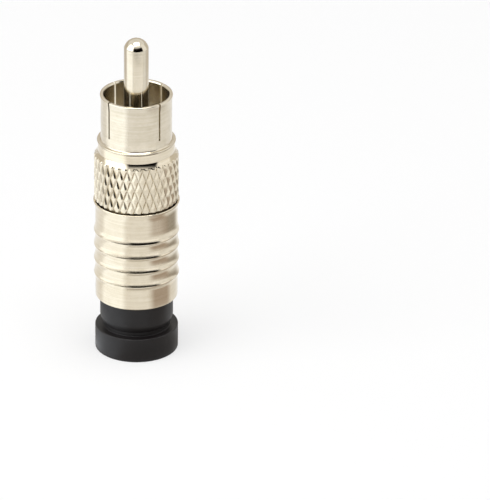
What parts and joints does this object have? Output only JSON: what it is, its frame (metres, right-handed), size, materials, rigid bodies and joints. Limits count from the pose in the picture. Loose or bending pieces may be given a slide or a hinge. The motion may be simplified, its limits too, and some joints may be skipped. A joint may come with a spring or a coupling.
{
  "type": "rca plug",
  "caption": "Compression RCA plug for coaxial cable: round-nosed pin in a slotted contact shell, knurled collar, ringed barrel and a black ring that slides in to grip the cable.",
  "frame": {"origin": "centre of the bottom face of the compression ring's flange", "axes": "+Z along the plug's axis towards the pin's nose, +X through one of the shell's slits"},
  "size_m": [0.0112, 0.0112, 0.0438],
  "materials": {
    "nickel_plate": "bright nickel plate over turned brass, fine turning lines",
    "pale_plastic": "natural acetal, satin",
    "black_plastic": "black moulded acetal, satin"
  },
  "bodies": {
    "plug": {"centre_pin": "nickel_plate", "pin_insulator": "pale_plastic", "pin_guide": "pale_plastic", "contact_shell": "nickel_plate", "knurled_collar": "nickel_plate", "ground_post": "nickel_plate", "compression_body": "nickel_plate"},
    "ring": {"compression_ring": "black_plastic"}
  },
  "joints": [
    {"name": "ring_slide", "type": "slide", "parent": "plug", "child": "ring", "axis": [0, 0, 1], "range_m": [0, 0.0042]}
  ]
}
